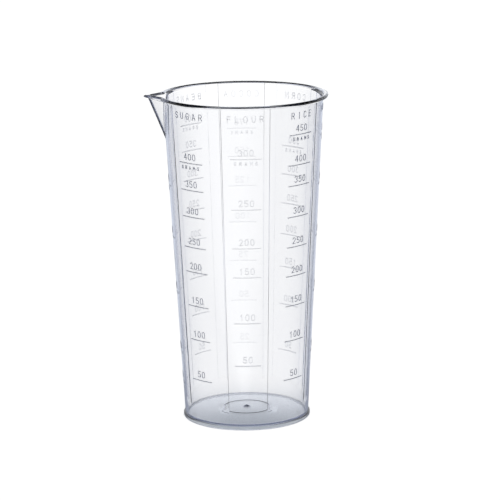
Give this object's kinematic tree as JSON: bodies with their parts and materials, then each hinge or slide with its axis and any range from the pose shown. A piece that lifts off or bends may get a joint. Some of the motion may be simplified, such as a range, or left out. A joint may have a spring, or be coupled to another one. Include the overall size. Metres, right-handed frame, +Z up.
{
  "type": "measuring cup",
  "caption": "Clear plastic kitchen measuring cup: tapered round body, rim bead, V-shaped pouring spout, foot rim and raised ingredient scales between plain strips.",
  "frame": {"origin": "centre of the round foot, on the table", "axes": "+Z up along the cup's axis, -X towards the pouring spout, -Y out through the flour scale"},
  "size_m": [0.0923, 0.0846, 0.165],
  "materials": {
    "clear_plastic": "clear polystyrene, polished, faint blue-grey tint in the thickness",
    "raised_marks": "the same clear polystyrene, raised 0.25 mm, slightly matt"
  },
  "bodies": {
    "root": {"cup_wall": "clear_plastic", "cup_floor": "clear_plastic", "rim_bead": "clear_plastic", "pouring_spout": "clear_plastic", "spout_lip": "clear_plastic", "foot_ring": "clear_plastic", "floor_ring": "clear_plastic", "gate_mark": "clear_plastic", "panel_strips": "clear_plastic", "flour_lines": "raised_marks", "flour_numbers": "raised_marks", "flour_words": "raised_marks", "rice_lines": "raised_marks", "rice_numbers": "raised_marks", "rice_words": "raised_marks", "volume_lines": "raised_marks", "volume_numbers": "raised_marks", "volume_words": "raised_marks", "corn_lines": "raised_marks", "corn_numbers": "raised_marks", "corn_words": "raised_marks", "cocoa_lines": "raised_marks", "cocoa_numbers": "raised_marks", "cocoa_words": "raised_marks", "beans_lines": "raised_marks", "beans_numbers": "raised_marks", "beans_words": "raised_marks", "spout_side_lines": "raised_marks", "spout_side_numbers": "raised_marks", "spout_side_words": "raised_marks", "sugar_lines": "raised_marks", "sugar_numbers": "raised_marks", "sugar_words": "raised_marks"}
  },
  "joints": []
}
